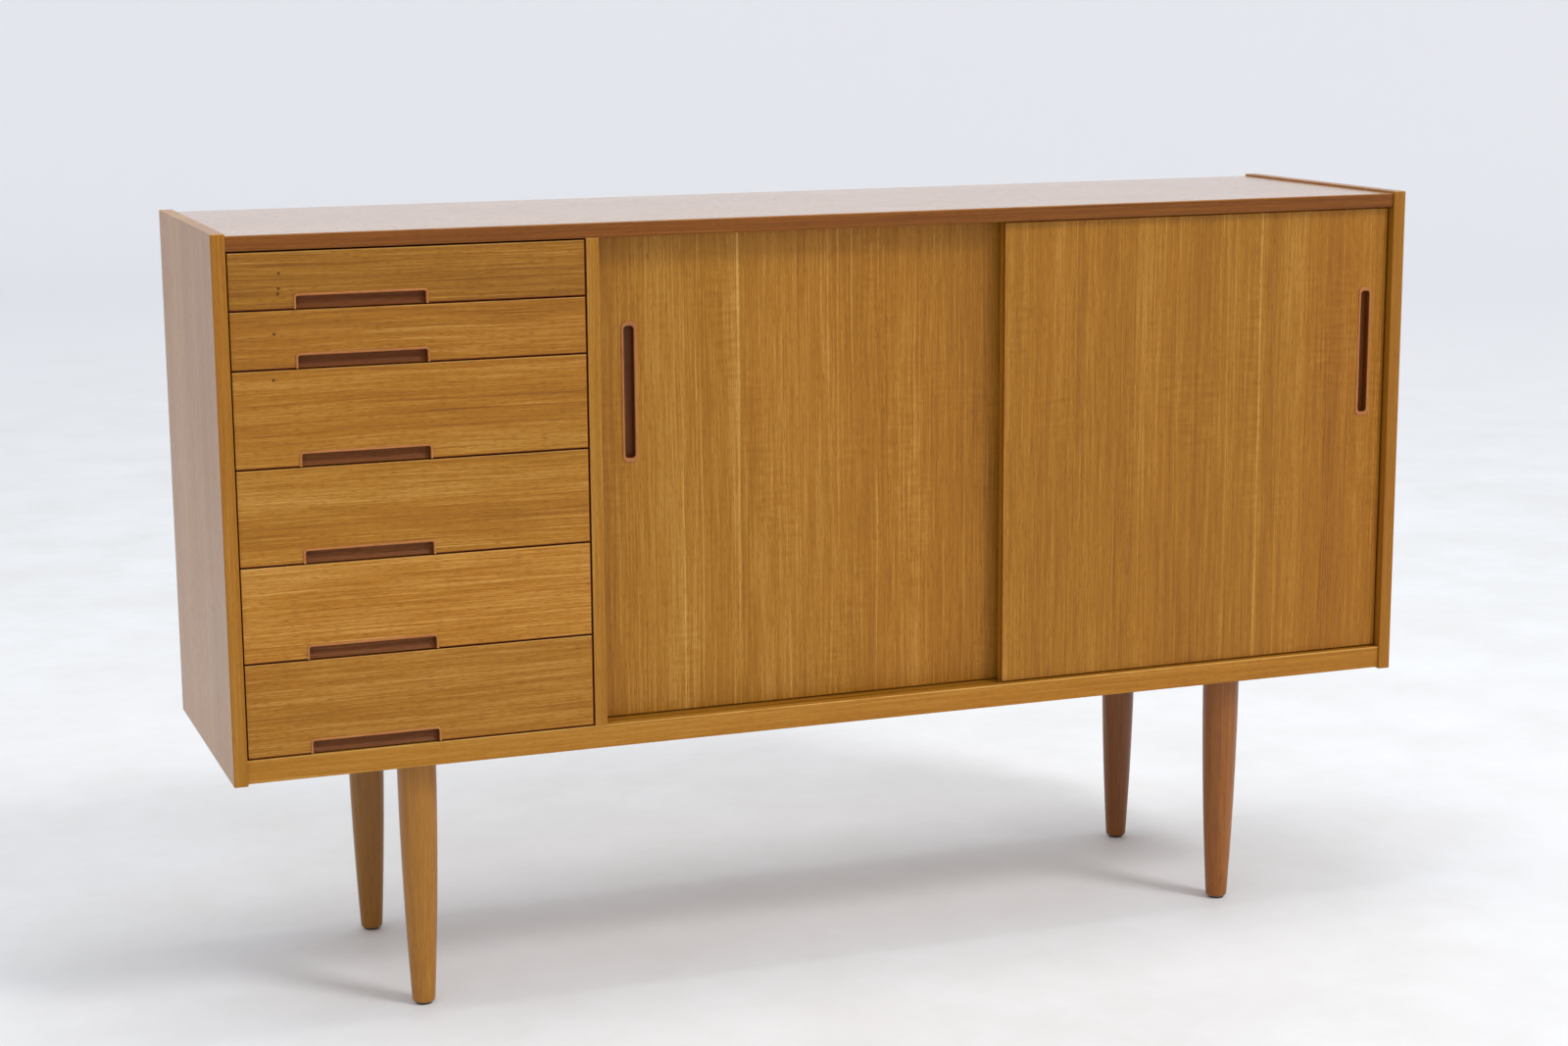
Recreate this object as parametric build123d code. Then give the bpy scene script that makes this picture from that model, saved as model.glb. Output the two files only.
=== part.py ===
from build123d import *
import os
from math import radians, tan

# A low teak sideboard on four turned legs: six drawers at the left, two sliding doors at the right.
# Millimetres. X runs along the front from left to right, Y from front to back, Z up.
# The origin is on the floor, under the middle of the case.

# ------------------------------------------------------------------ overall sizes
CABINET_WIDTH = 1600.0
CABINET_DEPTH = 400.0
CABINET_HEIGHT = 980.0
UNDERSIDE_HEIGHT = 320.0  # floor to the lower edge of the side panels

# ------------------------------------------------------------------ boards of the case
PANEL_THICKNESS = 17.0  # left and right side panels
BOARD_THICKNESS = 18.0  # top board and bottom board
PANEL_REVEAL = 3.0  # side panels stand this far past the boards at the top, front and back
PANEL_DROP = 2.0  # side panels reach this far below the rail
RAIL_HEIGHT = 29.0
RAIL_THICKNESS = 10.0
TOP_EDGING_WIDTH = 6.0  # solid strip glued along the front of the top board
EDGE_EASE = 1.0  # rounding of edges that a hand can reach
BACK_THICKNESS = 5.0
BACK_REBATE = 8.0  # how far the back panel laps the side panels and the top board

# ------------------------------------------------------------------ drawer bay
DRAWER_BAY_WIDTH = 434.0
DIVIDER_THICKNESS = 16.0
SHALLOW_DRAWERS = 2
DEEP_DRAWERS = 4
SHALLOW_PITCH = 70.0  # height that a shallow drawer takes up, gap included
FRONT_GAP = 1.5  # between neighbouring fronts
TOP_FRONT_GAP = 2.0  # over the top front
BAY_SIDE_GAP = 1.75  # beside the fronts and the drawer boxes

# ------------------------------------------------------------------ drawer boxes
FRONT_THICKNESS = 18.0
FRONT_LAP = 6.0  # wood left in front of the dovetails
DRAWER_SIDE_THICKNESS = 11.0
DRAWER_BACK_THICKNESS = 10.0
DRAWER_BOTTOM_THICKNESS = 4.0
BOTTOM_GROOVE_DEPTH = 4.0
BOTTOM_GROOVE_PLAY = 0.3
BOTTOM_GROOVE_RISE = 8.0  # from a side's lower edge to its groove
SIDE_LOWER_INSET = 8.0  # from the front's lower edge up to the sides
SIDE_UPPER_INSET = 12.0  # from the front's upper edge down to the sides
DRAWER_REAR_SPACE = 30.0  # free room behind a closed drawer
DRAWER_HOLD = 70.0  # length that stays on the runners when a drawer is fully out
DOVETAIL_ANGLE = 10.0
DOVETAIL_PITCH = 24.0

# ------------------------------------------------------------------ drawer runners
RUNNER_HEIGHT = 12.0
RUNNER_THICKNESS = 8.0
RUNNER_TOP_PLAY = 0.3
RUNNER_LOWER_PLAY = 0.7
RUNNER_SIDE_PLAY = 0.75
RUNNER_SETBACK = 2.0  # from the back of a front to the runner's end
RUNNER_REAR_SPACE = 12.0
STOP_PLAY = 0.3  # between a closed drawer and the runner end that stops it

# ------------------------------------------------------------------ drawer pulls
PULL_WIDTH = 161.0
PULL_HEIGHT = 18.0
PULL_OFFSET = 77.0  # from the drawer bay's left side to the pull
PULL_LIP = 3.0
PULL_CORNER = 5.5
PULL_PROUD = 1.5
PULL_INLAY = 12.0  # depth of the inlay in the front
PULL_COVE_DEPTH = 10.0  # finger room under the lip
PULL_COVE_FOOT = 3.5  # depth of the cove at its lower edge
LIP_ROUNDING = 1.3
SAME_PLACE = 0.01  # middles of two edges closer than this are one edge

# ------------------------------------------------------------------ sliding doors
DOOR_THICKNESS = 16.0
FRONT_DOOR_SETBACK = 9.0  # from the front of the rail to the front door
DOOR_SPACING = 5.0  # between the two doors
DOOR_OVERLAP = 24.5
DOOR_END_GAP = 1.75
DOOR_FACE_GAP = 2.0  # over and under the door panels
TONGUE_THICKNESS = 6.0
GROOVE_SIDE_PLAY = 0.5
TONGUE_ENGAGEMENT = 4.0  # how far a tongue reaches into its groove
TONGUE_ROOT = 18.0  # how far a tongue runs back into its panel
TOP_GROOVE_DEPTH = 9.0
DOOR_GROOVE_DEPTH = 5.0  # of the grooves below the doors
GLIDE_LENGTH = 40.0
GLIDE_HEIGHT = 4.0
GLIDE_PLAY = 0.3
GLIDE_INSET = 30.0  # from a door's end to its glide

# ------------------------------------------------------------------ door handles
HANDLE_WIDTH = 20.0
HANDLE_LENGTH = 176.0
HANDLE_CORNER = 7.0
HANDLE_SIDE_LIP = 3.5
HANDLE_END_LIP = 5.5
HANDLE_SLOT_CORNER = 4.5
HANDLE_PROUD = 1.5
HANDLE_INLAY = 12.0
HANDLE_FLOOR = 2.0
LEFT_HANDLE_INSET = 43.0  # from the left door's outer edge to the handle's middle
RIGHT_HANDLE_INSET = 32.0  # from the right door's outer edge to the handle's middle
HANDLE_CENTRE_HEIGHT = 413.0  # above the floor of the opening

# ------------------------------------------------------------------ partition and shelves
PARTITION_THICKNESS = 16.0
PARTITION_DOOR_GAP = 6.0
SHELF_THICKNESS = 16.0
SHELF_END_PLAY = 1.0
SHELF_SETBACK = 8.0
SHELF_REAR_PLAY = 2.0
PIN_RADIUS = 2.5
PIN_BITE = 7.0
PIN_REACH = 9.0
PIN_SPACING = 96.0
PIN_INSET = 40.0

# ------------------------------------------------------------------ legs
LEG_TOP_RADIUS = 24.5
LEG_FOOT_RADIUS = 14.5
LEG_BULGE = 2.3  # how far the taper swells past a straight cone at half height
LEG_FOOT_ROUNDING = 4.0
LEG_SIDE_INSET = 234.0
LEG_FRONT_INSET = 55.0
LEG_BACK_INSET = 40.0
PLATE_SIZE = 70.0
PLATE_THICKNESS = 3.0
PLATE_CORNER = 6.0
PLATE_SCREW_INSET = 9.0
LEG_BOLT_RADIUS = 4.0
LEG_BOLT_BITE = 40.0
LEG_BOLT_RISE = 10.0
LEG_BOLT_PLAY = 1.0
GLIDE_PAD_RADIUS = 10.0
GLIDE_PAD_HEIGHT = 2.5
GLIDE_NAIL_RADIUS = 1.0
GLIDE_NAIL_LENGTH = 12.0

# ------------------------------------------------------------------ fastenings
DOWEL_RADIUS = 4.0
DOWEL_EDGE_BITE = 20.0  # into the end of a board
DOWEL_FACE_BITE = 9.0  # into the face of a board
DOWEL_CHAMFER = 1.0
DOWEL_INSET = 60.0
DOWELS_PER_JOINT = 3
SCREW_RADIUS = 1.75
SCREW_HEAD_RADIUS = 3.2
SCREW_HEAD_HEIGHT = 2.4
SCREW_POINT = 3.0
SCREW_LENGTH = 15.0
RUNNER_SCREW_INSET = 30.0
BACK_SCREWS_ALONG_TOP = 8
BACK_SCREWS_UP_SIDE = 4
BACK_SCREW_INSET = 45.0

# ------------------------------------------------------------------ planes that the pieces share
INNER_LEFT = -CABINET_WIDTH / 2 + PANEL_THICKNESS
INNER_RIGHT = -INNER_LEFT
FRONT_PLANE = -CABINET_DEPTH / 2 + PANEL_REVEAL
REAR_PLANE = CABINET_DEPTH / 2 - PANEL_REVEAL
BACK_FACE = REAR_PLANE - BACK_THICKNESS
TOP_SURFACE = CABINET_HEIGHT - PANEL_REVEAL
OPENING_TOP = TOP_SURFACE - BOARD_THICKNESS
RAIL_BOTTOM = UNDERSIDE_HEIGHT + PANEL_DROP
OPENING_BOTTOM = RAIL_BOTTOM + RAIL_HEIGHT
CASE_UNDERSIDE = OPENING_BOTTOM - BOARD_THICKNESS
BAY_RIGHT = INNER_LEFT + DRAWER_BAY_WIDTH
DIVIDER_RIGHT = BAY_RIGHT + DIVIDER_THICKNESS
DIVIDER_CENTRE = (BAY_RIGHT + DIVIDER_RIGHT) / 2
DOOR_BAY_CENTRE = (DIVIDER_RIGHT + INNER_RIGHT) / 2
RAIL_BACK = FRONT_PLANE + RAIL_THICKNESS

FRONT_BACK = FRONT_PLANE + FRONT_THICKNESS
DRAWER_REAR = BACK_FACE - DRAWER_REAR_SPACE
BOX_LEFT = INNER_LEFT + BAY_SIDE_GAP
BOX_RIGHT = BAY_RIGHT - BAY_SIDE_GAP
RUNNER_FRONT = FRONT_BACK + RUNNER_SETBACK
RUNNER_REAR = BACK_FACE - RUNNER_REAR_SPACE
RUNNER_GROOVE_DEPTH = RUNNER_THICKNESS - BAY_SIDE_GAP + RUNNER_SIDE_PLAY
DRAWER_TRAVEL = DRAWER_REAR - FRONT_PLANE - DRAWER_HOLD

FRONT_DOOR_FACE = FRONT_PLANE + FRONT_DOOR_SETBACK
REAR_DOOR_FACE = FRONT_DOOR_FACE + DOOR_THICKNESS + DOOR_SPACING
DOORS_LEFT = DIVIDER_RIGHT + DOOR_END_GAP
DOORS_RIGHT = INNER_RIGHT - DOOR_END_GAP
DOOR_WIDTH = (DOORS_RIGHT - DOORS_LEFT + DOOR_OVERLAP) / 2
DOOR_TRAVEL = DOORS_RIGHT - DOORS_LEFT - DOOR_WIDTH
HANDLE_CENTRE = OPENING_BOTTOM + HANDLE_CENTRE_HEIGHT

PARTITION_FRONT = REAR_DOOR_FACE + DOOR_THICKNESS + PARTITION_DOOR_GAP
PARTITION_LEFT = DOOR_BAY_CENTRE - PARTITION_THICKNESS / 2
PARTITION_RIGHT = DOOR_BAY_CENTRE + PARTITION_THICKNESS / 2
SHELF_FRONT = PARTITION_FRONT + SHELF_SETBACK
SHELF_REAR = BACK_FACE - SHELF_REAR_PLAY
PIN_ROWS = (SHELF_FRONT + PIN_INSET, SHELF_REAR - PIN_INSET)
PIN_MIDDLE = (OPENING_BOTTOM + OPENING_TOP) / 2
PIN_LEVELS = (PIN_MIDDLE - PIN_SPACING, PIN_MIDDLE, PIN_MIDDLE + PIN_SPACING)

LEG_TOP = CASE_UNDERSIDE - PLATE_THICKNESS
LEG_CENTRES = {
    "front_left_leg": (-CABINET_WIDTH / 2 + LEG_SIDE_INSET, -CABINET_DEPTH / 2 + LEG_FRONT_INSET),
    "front_right_leg": (CABINET_WIDTH / 2 - LEG_SIDE_INSET, -CABINET_DEPTH / 2 + LEG_FRONT_INSET),
    "back_left_leg": (-CABINET_WIDTH / 2 + LEG_SIDE_INSET, CABINET_DEPTH / 2 - LEG_BACK_INSET),
    "back_right_leg": (CABINET_WIDTH / 2 - LEG_SIDE_INSET, CABINET_DEPTH / 2 - LEG_BACK_INSET),
}


# ------------------------------------------------------------------ small helpers
def block(x_span, y_span, z_span):
    """A square-edged board between two values along each axis."""
    centre = [(low + high) / 2 for low, high in (x_span, y_span, z_span)]
    size = [high - low for low, high in (x_span, y_span, z_span)]
    return Pos(*centre) * Box(*size)


def spread(first, last, count):
    """Evenly spaced values from first to last."""
    return [first + (last - first) * step / (count - 1) for step in range(count)]


def facing(point, direction):
    """A plane at a point whose normal runs along a direction."""
    return Plane(origin=point, z_dir=direction)


def rod(point, direction, radius, length):
    """A round bar that starts at a point and runs along a direction."""
    return facing(point, direction) * Cylinder(
        radius, length, align=(Align.CENTER, Align.CENTER, Align.MIN)
    )


def screw(point, direction):
    """A countersunk wood screw whose head is flush at a point."""
    profile = Polyline(
        (0, 0),
        (SCREW_HEAD_RADIUS, 0),
        (SCREW_RADIUS, SCREW_HEAD_HEIGHT),
        (SCREW_RADIUS, SCREW_LENGTH - SCREW_POINT),
        (0, SCREW_LENGTH),
        (0, 0),
    )
    return facing(point, direction) * revolve(Plane.XZ * make_face(profile), Axis.Z)


def dowel(point, direction, length):
    """A round beech dowel with chamfered ends."""
    body = Cylinder(DOWEL_RADIUS, length, align=(Align.CENTER, Align.CENTER, Align.MIN))
    body = chamfer(body.edges().filter_by(GeomType.CIRCLE), DOWEL_CHAMFER)
    return facing(point, direction) * body


def upright(face, x, z, y_front, y_back):
    """A face drawn as seen from the front, given depth between two Y values."""
    plane = Plane(origin=(x, y_back, z), x_dir=(1, 0, 0), z_dir=(0, -1, 0))
    return extrude(plane * face, amount=y_back - y_front)


def front_rim(body):
    """The edges around the frontmost flat face."""
    return body.faces().filter_by(Axis.Y).sort_by(Axis.Y)[0].edges()


def rim_left_by(cutter, body):
    """Edges of a body's front face that a cutter's front outline left in it."""
    outline = [edge.center() for edge in front_rim(cutter)]

    def is_left_by_cutter(edge):
        """Whether an edge's middle lies on the cutter's outline."""
        return any((edge.center() - at).length < SAME_PLACE for at in outline)

    return [edge for edge in front_rim(body) if is_left_by_cutter(edge)]


def ease(body, edges):
    """Edges rounded by the hand-friendly radius."""
    return fillet(edges, EDGE_EASE)


def write(node, shape):
    """One STEP file for one named piece or group of like pieces."""
    export_step(shape, f"parts/{node}.step")


def group(pieces):
    """Like pieces that stay separate solids under one name."""
    return Compound(children=[solid for piece in pieces for solid in piece.solids()])


# ------------------------------------------------------------------ fastenings of the case
DOWEL_ROWS = spread(FRONT_PLANE + DOWEL_INSET, BACK_FACE - DOWEL_INSET, DOWELS_PER_JOINT)
PARTITION_DOWEL_ROWS = spread(PARTITION_FRONT + DOWEL_INSET, BACK_FACE - DOWEL_INSET, DOWELS_PER_JOINT)


def panel_joints():
    """Start and direction of each dowel between a side panel and a board's end."""
    joints = []
    for board_height in (TOP_SURFACE - BOARD_THICKNESS / 2, OPENING_BOTTOM - BOARD_THICKNESS / 2):
        for row in DOWEL_ROWS:
            joints.append(((INNER_LEFT - DOWEL_FACE_BITE, row, board_height), (1, 0, 0)))
            joints.append(((INNER_RIGHT + DOWEL_FACE_BITE, row, board_height), (-1, 0, 0)))
    return joints


def upright_joints():
    """Start and direction of each dowel at the ends of the divider and the partition."""
    joints = []
    for x, rows in ((DIVIDER_CENTRE, DOWEL_ROWS), (DOOR_BAY_CENTRE, PARTITION_DOWEL_ROWS)):
        for row in rows:
            joints.append(((x, row, OPENING_BOTTOM - DOWEL_FACE_BITE), (0, 0, 1)))
            joints.append(((x, row, OPENING_TOP + DOWEL_FACE_BITE), (0, 0, -1)))
    return joints


CASE_JOINTS = panel_joints() + upright_joints()
DOWEL_LENGTH = DOWEL_FACE_BITE + DOWEL_EDGE_BITE
DOWELS = [dowel(point, direction, DOWEL_LENGTH) for point, direction in CASE_JOINTS]
DOWEL_HOLES = [rod(point, direction, DOWEL_RADIUS, DOWEL_LENGTH) for point, direction in CASE_JOINTS]


def back_screw_spots():
    """Where the back panel is screwed to the case."""
    lap_middle = BACK_REBATE / 2
    heights = spread(OPENING_BOTTOM + BACK_SCREW_INSET, OPENING_TOP - BACK_SCREW_INSET, BACK_SCREWS_UP_SIDE)
    across = spread(INNER_LEFT + BACK_SCREW_INSET, INNER_RIGHT - BACK_SCREW_INSET, BACK_SCREWS_ALONG_TOP)
    columns = (INNER_LEFT - lap_middle, DIVIDER_CENTRE, DOOR_BAY_CENTRE, INNER_RIGHT + lap_middle)
    rows = (OPENING_TOP + lap_middle, OPENING_BOTTOM - BOARD_THICKNESS / 2)
    spots = [(x, z) for x in columns for z in heights]
    return spots + [(x, z) for x in across for z in rows]


BACK_SCREWS = [screw((x, REAR_PLANE, z), (0, -1, 0)) for x, z in back_screw_spots()]


# ------------------------------------------------------------------ drawers, from top to bottom
def drawer_slots():
    """Lower and upper line of each drawer's share of the opening, from the top down."""
    deep_total = OPENING_TOP - OPENING_BOTTOM - SHALLOW_DRAWERS * SHALLOW_PITCH
    pitches = [SHALLOW_PITCH] * SHALLOW_DRAWERS + [deep_total / DEEP_DRAWERS] * DEEP_DRAWERS
    slots = []
    upper = OPENING_TOP
    for pitch in pitches:
        slots.append((upper - pitch, upper))
        upper -= pitch
    return slots


def drawer_heights(lower_line, upper_line):
    """Heights that one drawer's pieces share."""
    at_top = upper_line == OPENING_TOP
    at_bottom = abs(lower_line - OPENING_BOTTOM) < FRONT_GAP
    front_bottom = lower_line + (FRONT_GAP if at_bottom else FRONT_GAP / 2)
    front_top = upper_line - (TOP_FRONT_GAP if at_top else FRONT_GAP / 2)
    side_bottom = front_bottom + SIDE_LOWER_INSET
    side_top = front_top - SIDE_UPPER_INSET
    panel_bottom = side_bottom + BOTTOM_GROOVE_RISE
    panel_top = panel_bottom + DRAWER_BOTTOM_THICKNESS
    runner_middle = (panel_top + side_top) / 2
    return {
        "front": (front_bottom, front_top),
        "side": (side_bottom, side_top),
        "panel": (panel_bottom, panel_top),
        "runner": (runner_middle - RUNNER_HEIGHT / 2, runner_middle + RUNNER_HEIGHT / 2),
    }


DRAWER_HEIGHTS = [drawer_heights(lower, upper) for lower, upper in drawer_slots()]


def tails(x_span, side_span):
    """Dovetails at the front end of a drawer side, as prisms across its thickness."""
    height = side_span[1] - side_span[0]
    count = max(2, round(height / DOVETAIL_PITCH))
    pitch = height / count
    tail_length = FRONT_THICKNESS - FRONT_LAP
    flare = tail_length * tan(radians(DOVETAIL_ANGLE))
    root = pitch / 2 - flare / 2
    prisms = []
    for number in range(count):
        middle = side_span[0] + pitch * (number + 0.5)
        outline = Polyline(
            (FRONT_BACK, middle - root / 2),
            (FRONT_BACK, middle + root / 2),
            (FRONT_BACK - tail_length, middle + root / 2 + flare),
            (FRONT_BACK - tail_length, middle - root / 2 - flare),
            (FRONT_BACK, middle - root / 2),
        )
        plane = Plane(origin=(x_span[0], 0, 0), x_dir=(0, 1, 0), z_dir=(1, 0, 0))
        prisms.append(extrude(plane * make_face(outline), amount=x_span[1] - x_span[0]))
    return prisms


def arch(width, height, corner):
    """A panel outline with rounded upper corners, standing on its lower edge."""
    outline = Rectangle(width, height, align=(Align.CENTER, Align.MIN))
    return fillet(outline.vertices().group_by(Axis.Y)[-1], corner)


PULL_CENTRE = INNER_LEFT + PULL_OFFSET + PULL_WIDTH / 2


def pull_pocket(front_bottom):
    """The space that a pull fills in its drawer front."""
    outline = arch(PULL_WIDTH, PULL_HEIGHT, PULL_CORNER)
    return upright(outline, PULL_CENTRE, front_bottom, FRONT_PLANE - PULL_PROUD, FRONT_PLANE + PULL_INLAY)


def drawer_pull(front_bottom):
    """A solid teak pull: a raised lip over a finger cove that is open downwards."""
    lip_face = FRONT_PLANE - PULL_PROUD
    body = pull_pocket(front_bottom)
    body = fillet(front_rim(body).sort_by(Axis.Z)[1:], LIP_ROUNDING)
    inner_width = PULL_WIDTH - 2 * PULL_LIP
    inner_height = PULL_HEIGHT - PULL_LIP
    inner_corner = PULL_CORNER - PULL_LIP
    deepest = FRONT_PLANE + PULL_COVE_DEPTH
    foot = FRONT_PLANE + PULL_COVE_FOOT
    inner_top = front_bottom + inner_height
    cove = TangentArc((deepest, inner_top), (foot, front_bottom), tangent=(0, -1))
    mouth = Polyline(
        (foot, front_bottom), (lip_face, front_bottom), (lip_face, inner_top), (deepest, inner_top)
    )
    plane = Plane(origin=(PULL_CENTRE - inner_width / 2, 0, 0), x_dir=(0, 1, 0), z_dir=(1, 0, 0))
    scoop = extrude(plane * make_face([cove, mouth]), amount=inner_width)
    outline = arch(inner_width, inner_height, inner_corner)
    recess = scoop & upright(outline, PULL_CENTRE, front_bottom, lip_face, FRONT_PLANE + PULL_INLAY)
    body -= recess
    return fillet(rim_left_by(recess, body), LIP_ROUNDING)


def drawer_front(heights, tail_prisms):
    """A drawer front with the pull's pocket, the dovetail sockets and the groove for the bottom."""
    bottom, top = heights["front"]
    front = block((BOX_LEFT, BOX_RIGHT), (FRONT_PLANE, FRONT_BACK), (bottom, top))
    front = ease(front, front_rim(front))
    inner = (BOX_LEFT + DRAWER_SIDE_THICKNESS, BOX_RIGHT - DRAWER_SIDE_THICKNESS)
    groove = block(inner, (FRONT_BACK - BOTTOM_GROOVE_DEPTH, FRONT_BACK), heights["panel"])
    return front - [pull_pocket(bottom), groove, *tail_prisms]


def drawer_side(heights, outer_x, inward, tail_prisms):
    """A drawer side with its dovetails, the runner groove outside and the bottom groove inside."""
    inner_x = outer_x + inward * DRAWER_SIDE_THICKNESS
    side = block(sorted((outer_x, inner_x)), (FRONT_BACK, DRAWER_REAR), heights["side"])
    side += tail_prisms
    runner_bottom, runner_top = heights["runner"]
    runner_groove = block(
        sorted((outer_x, outer_x + inward * RUNNER_GROOVE_DEPTH)),
        (RUNNER_FRONT - STOP_PLAY, DRAWER_REAR),
        (runner_bottom - RUNNER_LOWER_PLAY, runner_top + RUNNER_TOP_PLAY),
    )
    groove_span = sorted((inner_x - inward * BOTTOM_GROOVE_DEPTH, inner_x))
    bottom_groove = block(groove_span, (FRONT_BACK, DRAWER_REAR), heights["panel"])
    return side - [runner_groove, bottom_groove]


def drawer_bottom(heights):
    """A thin bottom that lies in the grooves of the sides and the front."""
    left = BOX_LEFT + DRAWER_SIDE_THICKNESS
    right = BOX_RIGHT - DRAWER_SIDE_THICKNESS
    reach = BOTTOM_GROOVE_DEPTH - BOTTOM_GROOVE_PLAY
    depth = (FRONT_BACK + BOTTOM_GROOVE_PLAY, DRAWER_REAR)
    panel = block((left - reach, right + reach), depth, heights["panel"])
    return panel + block((left, right), (FRONT_BACK - reach, DRAWER_REAR), heights["panel"])


def drawer_back(heights):
    """The back of a drawer, standing on the bottom between the sides."""
    inner = (BOX_LEFT + DRAWER_SIDE_THICKNESS, BOX_RIGHT - DRAWER_SIDE_THICKNESS)
    depth = (DRAWER_REAR - DRAWER_BACK_THICKNESS, DRAWER_REAR)
    return block(inner, depth, (heights["panel"][1], heights["side"][1]))


def write_drawer(number, heights):
    """All the pieces of one drawer."""
    left_tails = tails((BOX_LEFT, BOX_LEFT + DRAWER_SIDE_THICKNESS), heights["side"])
    right_tails = tails((BOX_RIGHT - DRAWER_SIDE_THICKNESS, BOX_RIGHT), heights["side"])
    sides = [
        drawer_side(heights, BOX_LEFT, 1, left_tails),
        drawer_side(heights, BOX_RIGHT, -1, right_tails),
    ]
    write(f"drawer_{number}_front", drawer_front(heights, left_tails + right_tails))
    write(f"drawer_{number}_pull", drawer_pull(heights["front"][0]))
    write(f"drawer_{number}_sides", group(sides))
    write(f"drawer_{number}_back", drawer_back(heights))
    write(f"drawer_{number}_bottom", drawer_bottom(heights))


# ------------------------------------------------------------------ runners in the drawer bay
def runner_screws(wall_x, inward):
    """Screws that hold one wall's runners."""
    face = wall_x + inward * RUNNER_THICKNESS
    return [
        screw((face, y, sum(heights["runner"]) / 2), (-inward, 0, 0))
        for heights in DRAWER_HEIGHTS
        for y in (RUNNER_FRONT + RUNNER_SCREW_INSET, RUNNER_REAR - RUNNER_SCREW_INSET)
    ]


LEFT_RUNNER_SCREWS = runner_screws(INNER_LEFT, 1)
RIGHT_RUNNER_SCREWS = runner_screws(BAY_RIGHT, -1)


def runners(wall_x, inward, screws):
    """The wooden strips on one wall of the drawer bay."""
    x_span = sorted((wall_x, wall_x + inward * RUNNER_THICKNESS))
    strips = []
    for heights in DRAWER_HEIGHTS:
        strip = block(x_span, (RUNNER_FRONT, RUNNER_REAR), heights["runner"])
        strips.append(strip - screws)
    return group(strips)


# ------------------------------------------------------------------ sliding doors
def handle_outline():
    """Outer outline of a door handle."""
    return RectangleRounded(HANDLE_WIDTH, HANDLE_LENGTH, HANDLE_CORNER)


def door_handle(face_y, x):
    """A solid teak finger cup with a raised rounded lip, let into a door."""
    lip_face = face_y - HANDLE_PROUD
    body = upright(handle_outline(), x, HANDLE_CENTRE, lip_face, face_y + HANDLE_INLAY)
    body = fillet(front_rim(body), LIP_ROUNDING)
    slot_width = HANDLE_WIDTH - 2 * HANDLE_SIDE_LIP
    slot_length = HANDLE_LENGTH - 2 * HANDLE_END_LIP
    outline = RectangleRounded(slot_width, slot_length, HANDLE_SLOT_CORNER)
    slot = upright(outline, x, HANDLE_CENTRE, lip_face, face_y + HANDLE_INLAY - HANDLE_FLOOR)
    body -= slot
    return fillet(rim_left_by(slot, body), LIP_ROUNDING)


def glide_spans(left_x, face_y):
    """Spans of the two glides let into a door's bottom tongue."""
    tongue = tongue_span(face_y)
    bottom = OPENING_BOTTOM - DOOR_GROOVE_DEPTH + GLIDE_PLAY
    height = (bottom, bottom + GLIDE_HEIGHT)
    starts = (left_x + GLIDE_INSET, left_x + DOOR_WIDTH - GLIDE_INSET - GLIDE_LENGTH)
    return [((start, start + GLIDE_LENGTH), tongue, height) for start in starts]


def tongue_span(face_y):
    """Front and back of a door's tongues."""
    middle = face_y + DOOR_THICKNESS / 2
    return (middle - TONGUE_THICKNESS / 2, middle + TONGUE_THICKNESS / 2)


def door_panel(left_x, face_y, handle_x):
    """A door panel with a tongue along its top and bottom, and pockets for handle and glides."""
    width = (left_x, left_x + DOOR_WIDTH)
    lower = OPENING_BOTTOM + DOOR_FACE_GAP
    upper = OPENING_TOP - DOOR_FACE_GAP
    panel = block(width, (face_y, face_y + DOOR_THICKNESS), (lower, upper))
    panel = ease(panel, panel.edges())
    top_tongue = (upper - TONGUE_ROOT, OPENING_TOP + TONGUE_ENGAGEMENT)
    bottom_tongue = (OPENING_BOTTOM - TONGUE_ENGAGEMENT, lower + TONGUE_ROOT)
    panel += [block(width, tongue_span(face_y), height) for height in (top_tongue, bottom_tongue)]
    pocket = upright(handle_outline(), handle_x, HANDLE_CENTRE, face_y, face_y + HANDLE_INLAY)
    return panel - [pocket, *[block(*spans) for spans in glide_spans(left_x, face_y)]]


def write_door(name, left_x, face_y, handle_x):
    """One sliding door with its handle and glides."""
    write(f"{name}_door_panel", door_panel(left_x, face_y, handle_x))
    write(f"{name}_door_handle", door_handle(face_y, handle_x))
    write(f"{name}_door_glides", group([block(*spans) for spans in glide_spans(left_x, face_y)]))


def door_grooves(z_span):
    """The two grooves that the doors run in, in the top board or the bottom board."""
    grooves = []
    for face_y in (FRONT_DOOR_FACE, REAR_DOOR_FACE):
        front, back = tongue_span(face_y)
        width = (front - GROOVE_SIDE_PLAY, back + GROOVE_SIDE_PLAY)
        grooves.append(block((DIVIDER_RIGHT, INNER_RIGHT), width, z_span))
    return grooves


# ------------------------------------------------------------------ the case
def pin_holes(wall_x, outward):
    """Rows of shelf pin holes in one wall."""
    return [
        rod((wall_x, row, level), (outward, 0, 0), PIN_RADIUS, PIN_BITE)
        for row in PIN_ROWS
        for level in PIN_LEVELS
    ]


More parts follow.
